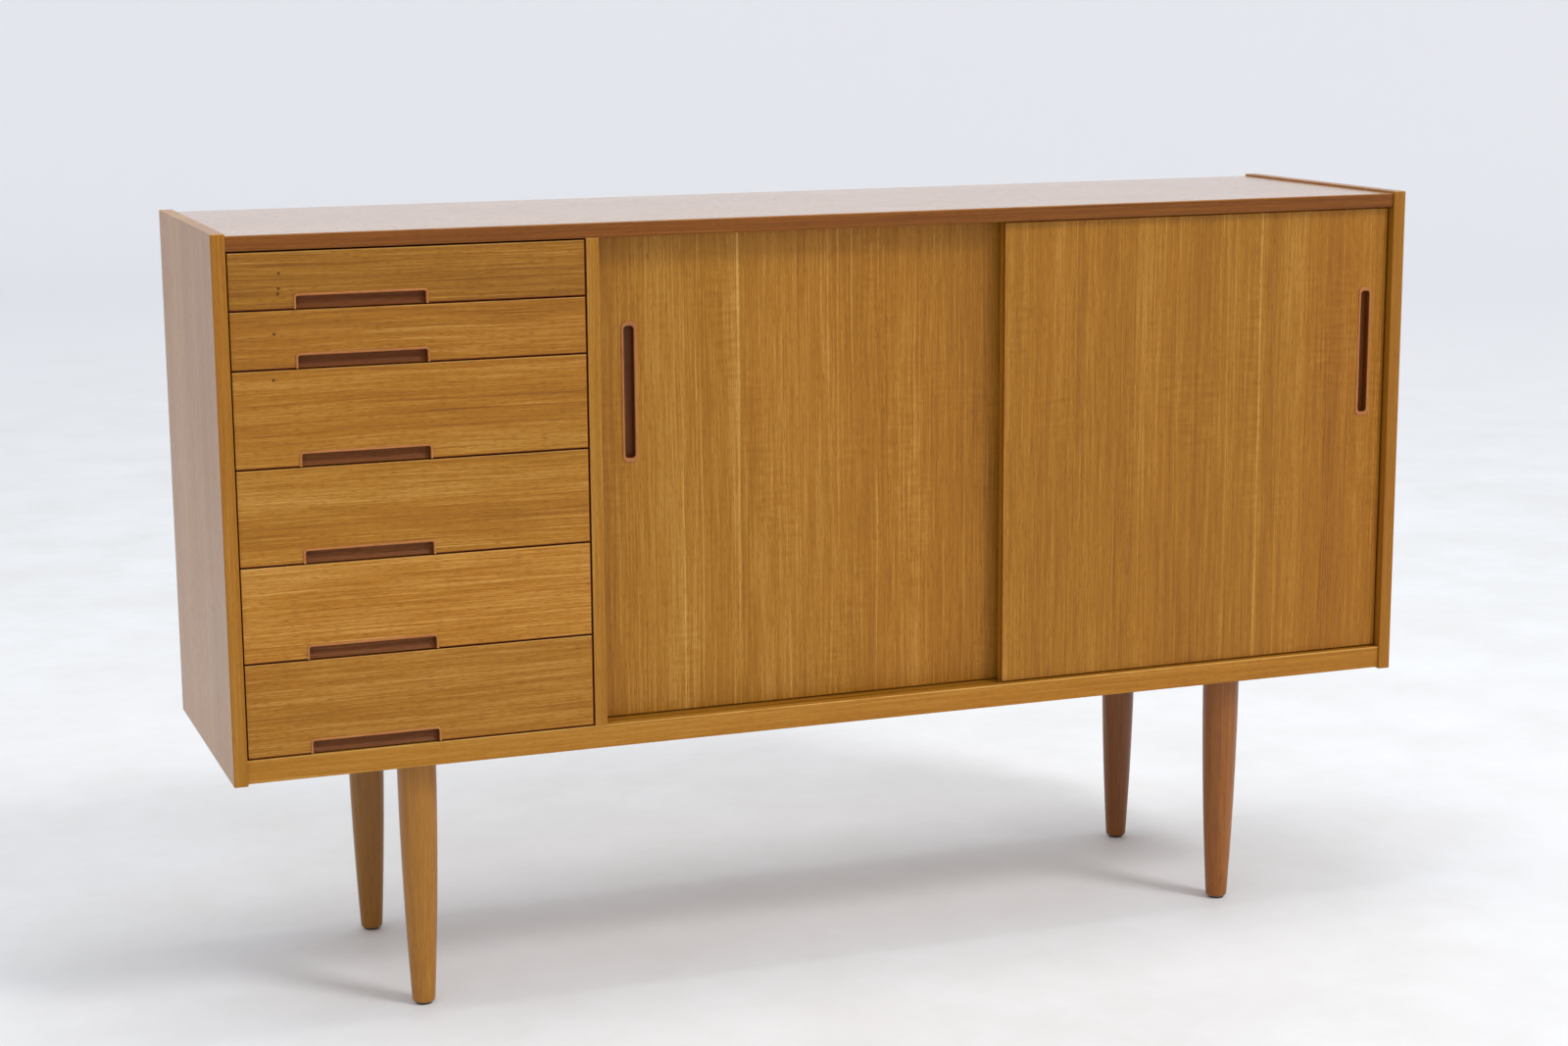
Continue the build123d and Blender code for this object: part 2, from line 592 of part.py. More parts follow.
def side_panel(side):
    """A side panel. side is -1 at the left and 1 at the right."""
    outer = side * CABINET_WIDTH / 2
    inner = side * INNER_RIGHT
    depth = CABINET_DEPTH / 2
    panel = block(sorted((outer, inner)), (-depth, depth), (UNDERSIDE_HEIGHT, CABINET_HEIGHT))
    panel = ease(panel, panel.edges())
    rebate = block(
        sorted((inner, inner + side * BACK_REBATE)),
        (BACK_FACE, depth),
        (CASE_UNDERSIDE, OPENING_TOP + BACK_REBATE),
    )
    holes = LEFT_RUNNER_SCREWS if side < 0 else pin_holes(INNER_RIGHT, 1)
    return panel - [rebate, *holes, *DOWEL_HOLES, *BACK_SCREWS]


def top_board():
    """The top board, with the door grooves below and a rebate for the back panel."""
    width = (INNER_LEFT, INNER_RIGHT)
    board = block(width, (FRONT_PLANE + TOP_EDGING_WIDTH, REAR_PLANE), (OPENING_TOP, TOP_SURFACE))
    rebate = block(width, (BACK_FACE, REAR_PLANE), (OPENING_TOP, OPENING_TOP + BACK_REBATE))
    grooves = door_grooves((OPENING_TOP, OPENING_TOP + TOP_GROOVE_DEPTH))
    return board - [rebate, *grooves, *DOWEL_HOLES, *BACK_SCREWS]


def top_front_edging():
    """The solid strip along the front of the top board."""
    strip = block(
        (INNER_LEFT, INNER_RIGHT), (FRONT_PLANE, FRONT_PLANE + TOP_EDGING_WIDTH), (OPENING_TOP, TOP_SURFACE)
    )
    return ease(strip, front_rim(strip).filter_by(Axis.X))


def bottom_board():
    """The bottom board behind the rail."""
    board = block((INNER_LEFT, INNER_RIGHT), (RAIL_BACK, BACK_FACE), (CASE_UNDERSIDE, OPENING_BOTTOM))
    grooves = door_grooves((OPENING_BOTTOM - DOOR_GROOVE_DEPTH, OPENING_BOTTOM))
    return board - [*grooves, *DOWEL_HOLES, *BACK_SCREWS, *PLATE_SCREWS, *leg_bolt_holes()]


def bottom_front_rail():
    """The rail along the front of the bottom board."""
    rail = block((INNER_LEFT, INNER_RIGHT), (FRONT_PLANE, RAIL_BACK), (RAIL_BOTTOM, OPENING_BOTTOM))
    return ease(rail, front_rim(rail).filter_by(Axis.X))


def drawer_divider():
    """The upright between the drawers and the doors."""
    divider = block((BAY_RIGHT, DIVIDER_RIGHT), (FRONT_PLANE, BACK_FACE), (OPENING_BOTTOM, OPENING_TOP))
    divider = ease(divider, front_rim(divider).filter_by(Axis.Z))
    return divider - [*pin_holes(DIVIDER_RIGHT, -1), *RIGHT_RUNNER_SCREWS, *DOWEL_HOLES, *BACK_SCREWS]


def center_partition():
    """The upright behind the place where the doors meet."""
    thickness = (PARTITION_LEFT, PARTITION_RIGHT)
    partition = block(thickness, (PARTITION_FRONT, BACK_FACE), (OPENING_BOTTOM, OPENING_TOP))
    partition = ease(partition, front_rim(partition).filter_by(Axis.Z))
    holes = pin_holes(PARTITION_LEFT, 1) + pin_holes(PARTITION_RIGHT, -1)
    return partition - [*holes, *DOWEL_HOLES, *BACK_SCREWS]


def back_panel():
    """The plywood back, countersunk for its screws."""
    lap = BACK_REBATE
    panel = block(
        (INNER_LEFT - lap, INNER_RIGHT + lap), (BACK_FACE, REAR_PLANE), (CASE_UNDERSIDE, OPENING_TOP + lap)
    )
    return panel - BACK_SCREWS


def shelf(left, right):
    """A shelf that rests on four pins."""
    bottom = PIN_MIDDLE + PIN_RADIUS
    board = block(
        (left + SHELF_END_PLAY, right - SHELF_END_PLAY),
        (SHELF_FRONT, SHELF_REAR),
        (bottom, bottom + SHELF_THICKNESS),
    )
    return ease(board, front_rim(board).filter_by(Axis.X))


def shelf_pins():
    """The pins under both shelves."""
    walls = ((DIVIDER_RIGHT, 1), (PARTITION_LEFT, -1), (PARTITION_RIGHT, 1), (INNER_RIGHT, -1))
    pins = []
    for wall_x, inward in walls:
        for row in PIN_ROWS:
            start = (wall_x - inward * PIN_BITE, row, PIN_MIDDLE)
            pins.append(rod(start, (inward, 0, 0), PIN_RADIUS, PIN_BITE + PIN_REACH))
    return group(pins)


# ------------------------------------------------------------------ legs and what holds them
def leg_plate(x, y):
    """A steel plate screwed under the case, threaded for the leg's bolt."""
    outline = RectangleRounded(PLATE_SIZE, PLATE_SIZE, PLATE_CORNER)
    return extrude(Pos(x, y, LEG_TOP) * outline, amount=PLATE_THICKNESS)


def plate_screws(x, y):
    """The four screws of one plate."""
    offset = PLATE_SIZE / 2 - PLATE_SCREW_INSET
    return [
        screw((x + across * offset, y + along * offset, LEG_TOP), (0, 0, 1))
        for across in (-1, 1)
        for along in (-1, 1)
    ]


PLATE_SCREWS = [piece for x, y in LEG_CENTRES.values() for piece in plate_screws(x, y)]
LEG_BOLT_LENGTH = LEG_BOLT_BITE + PLATE_THICKNESS + LEG_BOLT_RISE
LEG_BOLTS = [
    rod((x, y, LEG_TOP - LEG_BOLT_BITE), (0, 0, 1), LEG_BOLT_RADIUS, LEG_BOLT_LENGTH)
    for x, y in LEG_CENTRES.values()
]


def leg_bolt_holes():
    """Holes in the bottom board for the ends of the leg bolts."""
    radius = LEG_BOLT_RADIUS + LEG_BOLT_PLAY
    depth = LEG_BOLT_RISE + LEG_BOLT_PLAY
    return [rod((x, y, CASE_UNDERSIDE), (0, 0, 1), radius, depth) for x, y in LEG_CENTRES.values()]


def foot_glide(x, y):
    """A round pad with a nail, under a leg."""
    pad = rod((x, y, 0), (0, 0, 1), GLIDE_PAD_RADIUS, GLIDE_PAD_HEIGHT)
    nail = rod((x, y, GLIDE_PAD_HEIGHT), (0, 0, 1), GLIDE_NAIL_RADIUS, GLIDE_NAIL_LENGTH)
    return pad + nail


def turned_leg(x, y):
    """A round leg with a slightly swelled taper and a rounded foot."""
    foot = GLIDE_PAD_HEIGHT
    rounding = LEG_FOOT_ROUNDING
    half_height = (foot + rounding + LEG_TOP) / 2
    half_radius = (LEG_FOOT_RADIUS + LEG_TOP_RADIUS) / 2 + LEG_BULGE
    sole = Line((0, foot), (LEG_FOOT_RADIUS - rounding, foot))
    ankle = (LEG_FOOT_RADIUS, foot + rounding)
    toe = RadiusArc((LEG_FOOT_RADIUS - rounding, foot), ankle, -rounding)
    taper = ThreePointArc(ankle, (half_radius, half_height), (LEG_TOP_RADIUS, LEG_TOP))
    cap = Polyline((LEG_TOP_RADIUS, LEG_TOP), (0, LEG_TOP), (0, foot))
    leg = revolve(Plane.XZ * make_face([sole, toe, taper, cap]), Axis.Z)
    nail = rod((0, 0, GLIDE_PAD_HEIGHT), (0, 0, 1), GLIDE_NAIL_RADIUS, GLIDE_NAIL_LENGTH)
    bolt = rod((0, 0, LEG_TOP - LEG_BOLT_BITE), (0, 0, 1), LEG_BOLT_RADIUS, LEG_BOLT_BITE)
    return Pos(x, y, 0) * (leg - [nail, bolt])


# ------------------------------------------------------------------ every piece
def write_case():
    """The boards of the case and their fastenings."""
    write("left_side_panel", side_panel(-1))
    write("right_side_panel", side_panel(1))
    write("top_board", top_board())
    write("top_front_edging", top_front_edging())
    write("bottom_board", bottom_board())
    write("bottom_front_rail", bottom_front_rail())
    write("drawer_divider", drawer_divider())
    write("center_partition", center_partition())
    write("back_panel", back_panel())
    write("left_shelf", shelf(DIVIDER_RIGHT, PARTITION_LEFT))
    write("right_shelf", shelf(PARTITION_RIGHT, INNER_RIGHT))
    write("shelf_pins", shelf_pins())
    write("left_drawer_runners", runners(INNER_LEFT, 1, LEFT_RUNNER_SCREWS))
    write("right_drawer_runners", runners(BAY_RIGHT, -1, RIGHT_RUNNER_SCREWS))
    write("carcass_dowels", group(DOWELS))
    write("wood_screws", group(LEFT_RUNNER_SCREWS + RIGHT_RUNNER_SCREWS + BACK_SCREWS + PLATE_SCREWS))


def write_legs():
    """The legs and what fastens them."""
    for name, (x, y) in LEG_CENTRES.items():
        write(name, turned_leg(x, y))
    plates = [leg_plate(x, y) - PLATE_SCREWS - LEG_BOLTS for x, y in LEG_CENTRES.values()]
    write("leg_plates", group(plates))
    write("leg_bolts", group(LEG_BOLTS))
    write("foot_glides", group([foot_glide(x, y) for x, y in LEG_CENTRES.values()]))


os.makedirs("parts", exist_ok=True)
write_case()
write_legs()
for number, heights in enumerate(DRAWER_HEIGHTS, start=1):
    write_drawer(number, heights)
write_door("left", DOORS_LEFT, REAR_DOOR_FACE, DOORS_LEFT + LEFT_HANDLE_INSET)
write_door("right", DOORS_RIGHT - DOOR_WIDTH, FRONT_DOOR_FACE, DOORS_RIGHT - RIGHT_HANDLE_INSET)
print(f"drawer travel {DRAWER_TRAVEL:.2f} mm, door travel {DOOR_TRAVEL:.2f} mm")
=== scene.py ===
"""A low teak sideboard: six drawers beside two sliding doors, on four turned legs.

The joiner's model gives every board its place and size. This script dresses the boards in teak,
beech and plywood and the fittings in steel and plastic, turns the legs and cuts the screws as finer
meshes, and sets up a plain studio.
"""

import logging
import math
from dataclasses import dataclass
from enum import Enum
from typing import Sequence

import bmesh
import bpy
from mathutils import Matrix, Vector


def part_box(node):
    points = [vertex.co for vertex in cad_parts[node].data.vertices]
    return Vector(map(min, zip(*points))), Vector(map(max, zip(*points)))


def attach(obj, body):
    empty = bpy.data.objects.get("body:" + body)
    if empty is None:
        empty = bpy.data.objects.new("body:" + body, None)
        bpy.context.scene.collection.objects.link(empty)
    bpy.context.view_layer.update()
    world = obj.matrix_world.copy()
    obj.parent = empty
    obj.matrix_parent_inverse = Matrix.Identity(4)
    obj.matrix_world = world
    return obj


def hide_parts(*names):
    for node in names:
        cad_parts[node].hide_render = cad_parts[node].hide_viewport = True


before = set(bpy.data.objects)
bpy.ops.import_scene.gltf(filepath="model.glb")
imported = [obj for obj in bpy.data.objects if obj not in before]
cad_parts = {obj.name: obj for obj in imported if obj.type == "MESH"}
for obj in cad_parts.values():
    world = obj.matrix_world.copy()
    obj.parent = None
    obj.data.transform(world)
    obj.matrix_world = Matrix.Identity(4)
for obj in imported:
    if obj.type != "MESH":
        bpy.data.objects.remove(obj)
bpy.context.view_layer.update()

logging.basicConfig(level=logging.INFO, format="%(message)s")
log = logging.getLogger("sideboard")

Colour = tuple[float, float, float]
Place = tuple[float, float, float]
MILLIMETRE = 0.001


# ---------------------------------------------------------------------------- shader sheets
class Signal:
    """A number, colour or vector that varies over a surface: one output socket of a node tree."""

    def __init__(self, sheet: "Sheet", socket: bpy.types.NodeSocket) -> None:
        """Keep the socket and the sheet that it belongs to."""
        self.sheet = sheet
        self.socket = socket

    def __add__(self, other: "Number") -> "Signal":
        """Sum of two numbers."""
        return self.sheet.math("ADD", self, other)

    def __radd__(self, other: float) -> "Signal":
        """Sum with a plain number first."""
        return self.sheet.math("ADD", other, self)

    def __sub__(self, other: "Number") -> "Signal":
        """Difference of two numbers."""
        return self.sheet.math("SUBTRACT", self, other)

    def __rsub__(self, other: float) -> "Signal":
        """Difference with a plain number first."""
        return self.sheet.math("SUBTRACT", other, self)

    def __mul__(self, other: "Number") -> "Signal":
        """Product of two numbers."""
        return self.sheet.math("MULTIPLY", self, other)

    def __truediv__(self, other: "Number") -> "Signal":
        """Quotient of two numbers."""
        return self.sheet.math("DIVIDE", self, other)

    def floor(self) -> "Signal":
        """The whole number below."""
        return self.sheet.math("FLOOR", self)

    def step(self, low: float, high: float) -> "Signal":
        """A smooth rise from 0 at low to 1 at high.

        Args:
            low: where the rise starts.
            high: where the rise ends; it may be under low, for a fall.

        Returns:
            The risen number.
        """
        settings = {"interpolation_type": "SMOOTHSTEP"}
        sockets = {"Value": self, "From Min": low, "From Max": high}
        return self.sheet.signal("ShaderNodeMapRange", settings, sockets, "Result")


Number = Signal | float


class Sheet:
    """The node tree of one finish."""

    def __init__(self, name: str) -> None:
        """Start a material with nothing but a surface shader and its output.

        Args:
            name: the finish's name.
        """
        self.material = bpy.data.materials.new(name)
        self.material.use_nodes = True
        self.tree = self.material.node_tree
        self.tree.nodes.clear()
        self.surface = self.add("ShaderNodeBsdfPrincipled")
        output = self.add("ShaderNodeOutputMaterial")
        self.tree.links.new(self.surface.outputs["BSDF"], output.inputs["Surface"])

    def add(
        self, kind: str, settings: dict | None = None, sockets: dict | None = None
    ) -> bpy.types.Node:
        """Add a node.

        Args:
            kind: the node's type.
            settings: its settings, set before its sockets; "stops" are a ramp's places and colours.
            sockets: values or signals for its inputs, by name or number.

        Returns:
            The new node.
        """
        node = self.tree.nodes.new(kind)
        for key, value in (settings or {}).items():
            if key == "stops":
                self.set_stops(node.color_ramp, value)
            else:
                setattr(node, key, value)
        for key, value in (sockets or {}).items():
            if isinstance(value, Signal):
                self.tree.links.new(value.socket, node.inputs[key])
            else:
                node.inputs[key].default_value = value
        return node

    @staticmethod
    def set_stops(ramp: bpy.types.ColorRamp, stops: Sequence[tuple[float, Colour]]) -> None:
        """Give a ramp its stops.

        Args:
            ramp: the ramp, which starts with two stops.
            stops: place and colour of each stop, in rising order.
        """
        while len(ramp.elements) < len(stops):
            ramp.elements.new(1.0)
        for element, (place, colour) in zip(ramp.elements, stops):
            element.position = place
            element.color = (*colour, 1.0)

    def signal(
        self, kind: str, settings: dict | None, sockets: dict | None, output: str | int = 0
    ) -> Signal:
        """Add a node and take one of its outputs.

        Args:
            kind: the node's type.
            settings: its settings.
            sockets: values or signals for its inputs.
            output: name or number of the output.

        Returns:
            The output as a signal.
        """
        return Signal(self, self.add(kind, settings, sockets).outputs[output])

    def math(self, operation: str, *values: Number) -> Signal:
        """Add a Math node.

        Args:
            operation: what it does.
            values: its numbers, in order.

        Returns:
            Its result.
        """
        return self.signal("ShaderNodeMath", {"operation": operation}, dict(enumerate(values)))

    def place(self, shift: Place = (0.0, 0.0, 0.0)) -> tuple[Signal, Signal, Signal]:
        """Where a surface point lies in the cabinet, in metres.

        Args:
            shift: added to the place, so that like boards show different wood.

        Returns:
            The three coordinates.
        """
        spot = self.signal("ShaderNodeTexCoord", None, None, "Object")
        moved = self.signal("ShaderNodeVectorMath", {"operation": "ADD"}, {0: spot, 1: shift})
        split = self.add("ShaderNodeSeparateXYZ", None, {0: moved})
        return tuple(Signal(self, output) for output in split.outputs)

    def noise(self, place: Sequence[Number], detail: float = 2.0, rough: float = 0.5) -> Signal:
        """Soft random variation around one half.

        Args:
            place: three coordinates, already scaled.
            detail: how many finer layers it has.
            rough: how strong the finer layers are.

        Returns:
            The variation.
        """
        point = self.signal("ShaderNodeCombineXYZ", None, dict(enumerate(place)))
        sockets = {"Vector": point, "Scale": 1.0, "Detail": detail, "Roughness": rough}
        return self.signal("ShaderNodeTexNoise", None, sockets, "Fac")

    def streaks(
        self,
        spot: tuple[Signal, Signal, Signal],
        along: float,
        across: float,
        detail: float = 2.0,
        rough: float = 0.5,
        start: float = 0.0,
    ) -> Signal:
        """Noise that is drawn out along the fibres.

        Args:
            spot: coordinates along, across and into the board.
            along: how often it changes along the fibres, per metre.
            across: how often it changes across them, per metre.
            detail: how many finer layers it has.
            rough: how strong the finer layers are.
            start: where it starts along the fibres.

        Returns:
            The variation.
        """
        length, lane, deep = spot
        first = length * along
        if start:
            first = first + start
        return self.noise((first, lane * across, deep * across), detail, rough)

    def even(
        self, spot: tuple[Signal, Signal, Signal], often: float, detail: float, rough: float = 0.5
    ) -> Signal:
        """Noise that changes equally often every way.

        Args:
            spot: the three coordinates.
            often: how often it changes, per metre.
            detail: how many finer layers it has.
            rough: how strong the finer layers are.

        Returns:
            The variation.
        """
        return self.streaks(spot, often, often, detail, rough)

    def ramp(self, value: Number, stops: Sequence[tuple[float, Colour]]) -> Signal:
        """Colours along a number.

        Args:
            value: the number, from 0 to 1.
            stops: place and colour of each stop.

        Returns:
            The colour.
        """
        return self.signal("ShaderNodeValToRGB", {"stops": stops}, {"Fac": value}, "Color")

    def mix(
        self, share: Number, first: Signal | Colour, second: Signal | Colour, blend: str = "MIX"
    ) -> Signal:
        """Mix two colours.

        Args:
            share: how much of the second colour.
            first: the first colour.
            second: the second colour.
            blend: the way they mix.

        Returns:
            The mixed colour.
        """
        settings = {"data_type": "RGBA", "blend_type": blend}
        pair = [value if isinstance(value, Signal) else (*value, 1.0) for value in (first, second)]
        # The Mix node's colours are its inputs 6 and 7 and its output 2.
        return self.signal("ShaderNodeMix", settings, {0: share, 6: pair[0], 7: pair[1]}, 2)

    def feed(self, socket: str, value: Number) -> None:
        """Connect or set one socket of the surface shader.

        Args:
            socket: the socket's name.
            value: what it gets.
        """
        if isinstance(value, Signal):
            self.tree.links.new(value.socket, self.surface.inputs[socket])
        else:
            self.surface.inputs[socket].default_value = value

    def coat(self, weight: Number) -> None:
        """Lay clear lacquer over the finish.

        Args:
            weight: how much of it.
        """
        self.feed("Coat Weight", weight)
        self.feed("Coat Roughness", LACQUER_ROUGHNESS)

    def dress(
        self, colour: Signal, roughness: Number, height: Signal | None, depth: float, **fixed: float
    ) -> None:
        """Connect the surface shader.

        Args:
            colour: base colour.
            roughness: roughness.
            height: relief from 0 to 1, or None for none.
            depth: how deep the relief is, in metres.
            fixed: plain values for other sockets, with underscores for spaces.
        """
        self.feed("Base Color", colour)
        self.feed("Roughness", roughness)
        if height is not None:
            sockets = {"Height": height, "Distance": depth, "Strength": 1.0}
            self.feed("Normal", self.signal("ShaderNodeBump", None, sockets, "Normal"))
        for key, value in fixed.items():
            self.feed(key.replace("_", " "), value)


def shade(red: int, green: int, blue: int) -> Colour:
    """Turn a paint-chart colour into the linear colour that shaders use.

    Args:
        red: red from 0 to 255.
        green: green from 0 to 255.
        blue: blue from 0 to 255.

    Returns:
        The linear colour.
    """

    def linear(value: int) -> float:
        """One channel made linear."""
        share = value / 255
        return share / 12.92 if share <= 0.04045 else ((share + 0.055) / 1.055) ** 2.4

    return (linear(red), linear(green), linear(blue))


# ---------------------------------------------------------------------------- finishes
class Grain(Enum):
    """Which way the fibres of a board run."""

    ALONG_WIDTH = 0
    ALONG_DEPTH = 1
    ALONG_HEIGHT = 2

    def sort(self, place: tuple[Signal, Signal, Signal]) -> tuple[Signal, Signal, Signal]:
        """Put the coordinate along the fibres first.

        Args:
            place: the three coordinates.

        Returns:
            Along, across and deep coordinates.
        """
        x, y, z = place
        orders = {
            Grain.ALONG_WIDTH: (x, z, y),
            Grain.ALONG_DEPTH: (y, x, z),
            Grain.ALONG_HEIGHT: (z, x, y),
        }
        return orders[self]


@dataclass(frozen=True)
class Wood:
    """The colours of one wood, from its darkest fibres to its palest."""

    dark: Colour
    middle: Colour
    light: Colour

    def stops(self) -> list[tuple[float, Colour]]:
        """The colours at their places on a ramp."""
        return [(0.15, self.dark), (0.5, self.middle), (0.9, self.light)]


TEAK = Wood(shade(118, 66, 10), shade(162, 108, 27), shade(206, 160, 84))
RED_TEAK = Wood(shade(84, 38, 4), shade(142, 84, 22), shade(182, 124, 50))
LIP_TEAK = Wood(shade(134, 76, 28), shade(174, 110, 52), shade(206, 150, 92))
# The pulls' and handles' recess colours: darker teak with painted shade in the recess.
PULL_TEAK_AND_RECESS_SHADE = Wood(shade(64, 29, 8), shade(116, 64, 22), shade(166, 108, 54))
BEECH = Wood(shade(168, 128, 84), shade(205, 168, 122), shade(226, 196, 154))
PLY = Wood(shade(150, 112, 72), shade(190, 150, 104), shade(214, 180, 136))
# Painted shade for the gaps between boards and along their lower and right front edges.
GAP_SHADE = shade(88, 20, 2)
HOLE_FILLER = shade(84, 46, 14)
LACQUER_ROUGHNESS = 0.18

# Where marks along a board's edges start to fade in and where they are full, in metres; the arris
# marks are a painted highlight with wear, the gap marks painted shade.
HIGHLIGHT_AND_WEAR_ARRIS = (1.8 * MILLIMETRE, 0.4 * MILLIMETRE)
HIDDEN_EDGE = (0.5 * MILLIMETRE, 0.2 * MILLIMETRE)
BEHIND_ARRIS = (0.3 * MILLIMETRE, 1.0 * MILLIMETRE)
LOWER_ARRIS = (1.8 * MILLIMETRE, 0.8 * MILLIMETRE)
GAP_SHADE_REACH = (6.0 * MILLIMETRE, 3.0 * MILLIMETRE)
FILLED_HOLE = (2.3 * MILLIMETRE, 1.2 * MILLIMETRE)
BARE_EDGE = (0.8 * MILLIMETRE, 2.2 * MILLIMETRE)


@dataclass(frozen=True)
class Timber:
    """A wood finish with bands, growth lines, fibres and pores that run along the board."""

    name: str
    grain: Grain
    wood: Wood
    shift: Place = (0.0, 0.0, 0.0)
    tone: float = 1.0
    board: str = ""
    bands: float = 0.40
    lines: float = 0.23
    dark_lines: float = 0.08
    fibres: float = 0.50
    pores: float = 0.35
    run: float = 1.0
    ripple: float = 0.0
    wander: float = 0.010
    roughness: float = 0.38
    specular: float = 0.20
    relief: float = 0.00008
    # Strength of the painted highlight and wear on the upper front arris.
    highlight_and_wear: float = 0.5
    # Strength of the painted shade in the gaps and along the lower and right front edges.
    gap_shade: float = 0.0
    marks: Sequence[tuple[float, float]] = ()
    lift: float = 0.0
    lacquer: float = 0.0
    bare_front: bool = False

    def figure(
        self, sheet: Sheet, along: Signal, across: Signal, deep: Signal
    ) -> tuple[Signal, Signal, Signal]:
        """Draw the bands, growth lines, fibres and ripple.

        Args:
            sheet: the sheet to draw on.
            along: coordinate along the fibres.
            across: coordinate across the fibres.
            deep: coordinate into the board.

        Returns:
            The lightness, the fibres and the pores.
        """
        straight = (along, across, deep)
        drift = sheet.streaks(straight, along=1.1, across=2.2) - 0.5
        lane = across + drift * self.wander * 2
        board = (along, lane, deep)
        grown = (along * self.run, lane, deep)
        band = sheet.streaks(board, along=0.4, across=15, detail=3.0, rough=0.6) - 0.5
        broad = sheet.streaks(board, along=0.7, across=5, detail=1.0) - 0.5
        cluster = sheet.streaks(grown, along=0.5, across=26, detail=1.0).step(0.30, 0.72)
        pale = sheet.streaks(grown, along=1.4, across=540, rough=0.6).step(0.54, 0.74)
        dark = sheet.streaks(grown, along=2.0, across=420, rough=0.6, start=7.0).step(0.54, 0.74)
        soft = sheet.streaks(grown, along=1.1, across=210, detail=3.0, rough=0.6) - 0.5
        fibre = sheet.streaks(board, along=9, across=460, detail=4.0, rough=0.75) - 0.5
        pore = sheet.streaks(board, along=80, across=1700, detail=1.0).step(0.54, 0.68)
        value = 0.5 + self.lift + band * self.bands + broad * (self.bands * 0.4)
        value = value + fibre * self.fibres + (pale * cluster - 0.15 + soft) * self.lines
        value = value - dark * self.dark_lines
        if self.ripple:
            patch = sheet.streaks(straight, along=5, across=13, detail=1.0).step(0.50, 0.68)
            fleck = sheet.streaks(board, along=170, across=30) - 0.5
            value = value + fleck * patch * self.ripple
        return value, fibre, pore

    def edges(self, sheet: Sheet) -> tuple[Number, Number]:
        """Find the board's upper front arris, paler from a painted highlight and from wear, and the
        painted shade in the gaps round it and along its lower and right front edges.

        Args:
            sheet: the sheet to draw on.

        Returns:
            How strongly each point takes the painted highlight and wear, and how strongly the
            painted shade.
        """
        if not self.board:
            return 0.0, 0.0
        low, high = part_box(self.board)
        x, y, z = sheet.place()
        behind = y - low[1]
        arris = sheet.math("MAXIMUM", behind, high[2] - z)
        patchy = sheet.even((x, y, z), 30, detail=3.0).step(0.25, 0.65)
        # Painted highlight on the upper front arris, mixed with patchy wear.
        worn = arris.step(*HIGHLIGHT_AND_WEAR_ARRIS) * (patchy * 0.6 + 0.4) * self.highlight_and_wear
        side = sheet.math("MINIMUM", x - low[0], high[0] - x)
        edge = sheet.math("MINIMUM", side, sheet.math("MINIMUM", z - low[2], high[2] - z))
        # Painted shade on the edge faces inside the gaps and along the lower and right front edges.
        hidden = edge.step(*HIDDEN_EDGE) * behind.step(*BEHIND_ARRIS)
        lower = sheet.math("MINIMUM", z - low[2], high[0] - x)
        gap_shade = sheet.math("MAXIMUM", hidden, lower.step(*LOWER_ARRIS) * 0.9)
        return worn, gap_shade * behind.step(*GAP_SHADE_REACH) * self.gap_shade

    def filled_holes(self, sheet: Sheet) -> Number:
        """Find the small filled holes in the board's face.

        Args:
            sheet: the sheet to draw on.

        Returns:
            1 on a filled hole and 0 elsewhere.
        """
        x, _, z = sheet.place()
        found = 0.0
        for across, height in self.marks:
            offset_x, offset_z = x - across, z - height
            away = sheet.math("SQRT", offset_x * offset_x + offset_z * offset_z)
            found = away.step(*FILLED_HOLE) + found
        return found

    def paint(self, sheet: Sheet, value: Signal) -> Signal:
        """Turn lightness into the wood's colours.

        Args:
            sheet: the sheet to draw on.
            value: the lightness.

        Returns:
            The colour.
        """
        return sheet.ramp(value, self.wood.stops())

    def lacquered(self, sheet: Sheet) -> Number:
        """Say where the lacquer lies.

        Args:
            sheet: the sheet to draw on.

        Returns:
            The weight of the lacquer coat, which leaves a bare front edge out.
        """
        if not self.bare_front:
            return self.lacquer
        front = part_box(self.board)[0][1]
        return (sheet.place()[1] - front).step(*BARE_EDGE) * self.lacquer

    def material(self) -> bpy.types.Material:
        """Build the finish.

        Returns:
            The material.
        """
        sheet = Sheet(self.name)
        along, across, deep = self.grain.sort(sheet.place(self.shift))
        value, fibre, pore = self.figure(sheet, along, across, deep)
        worn, gap_shade = self.edges(sheet)
        colour = self.paint(sheet, value)
        colour = sheet.mix(pore * self.pores, colour, self.wood.dark)
        warm = sheet.streaks((along, across, deep), along=0.8, across=4, detail=1.0).step(0.35, 0.7)
        tint = (self.tone * 1.02, self.tone * 0.96, self.tone * 0.90)
        colour = sheet.mix(1.0, colour, sheet.mix(warm, (self.tone,) * 3, tint), "MULTIPLY")
        # Paler upper front arris: painted highlight and wear.
        colour = sheet.mix(worn, colour, self.wood.light)
        # Darker in the gaps and along the lower and right front edges: painted shade.
        colour = sheet.mix(gap_shade, colour, GAP_SHADE)
        colour = sheet.mix(self.filled_holes(sheet), colour, HOLE_FILLER)
        handled = sheet.even((along, across, deep), 7, detail=3.0) - 0.5
        rough = self.roughness + handled * 0.10 + pore * 0.12 - worn * 0.1 + gap_shade * 0.5
        height = fibre * 0.6 + 0.5 - pore * 0.7
        sheet.dress(colour, rough, height, self.relief, Specular_IOR_Level=self.specular)
        sheet.coat(self.lacquered(sheet))
        return sheet.material


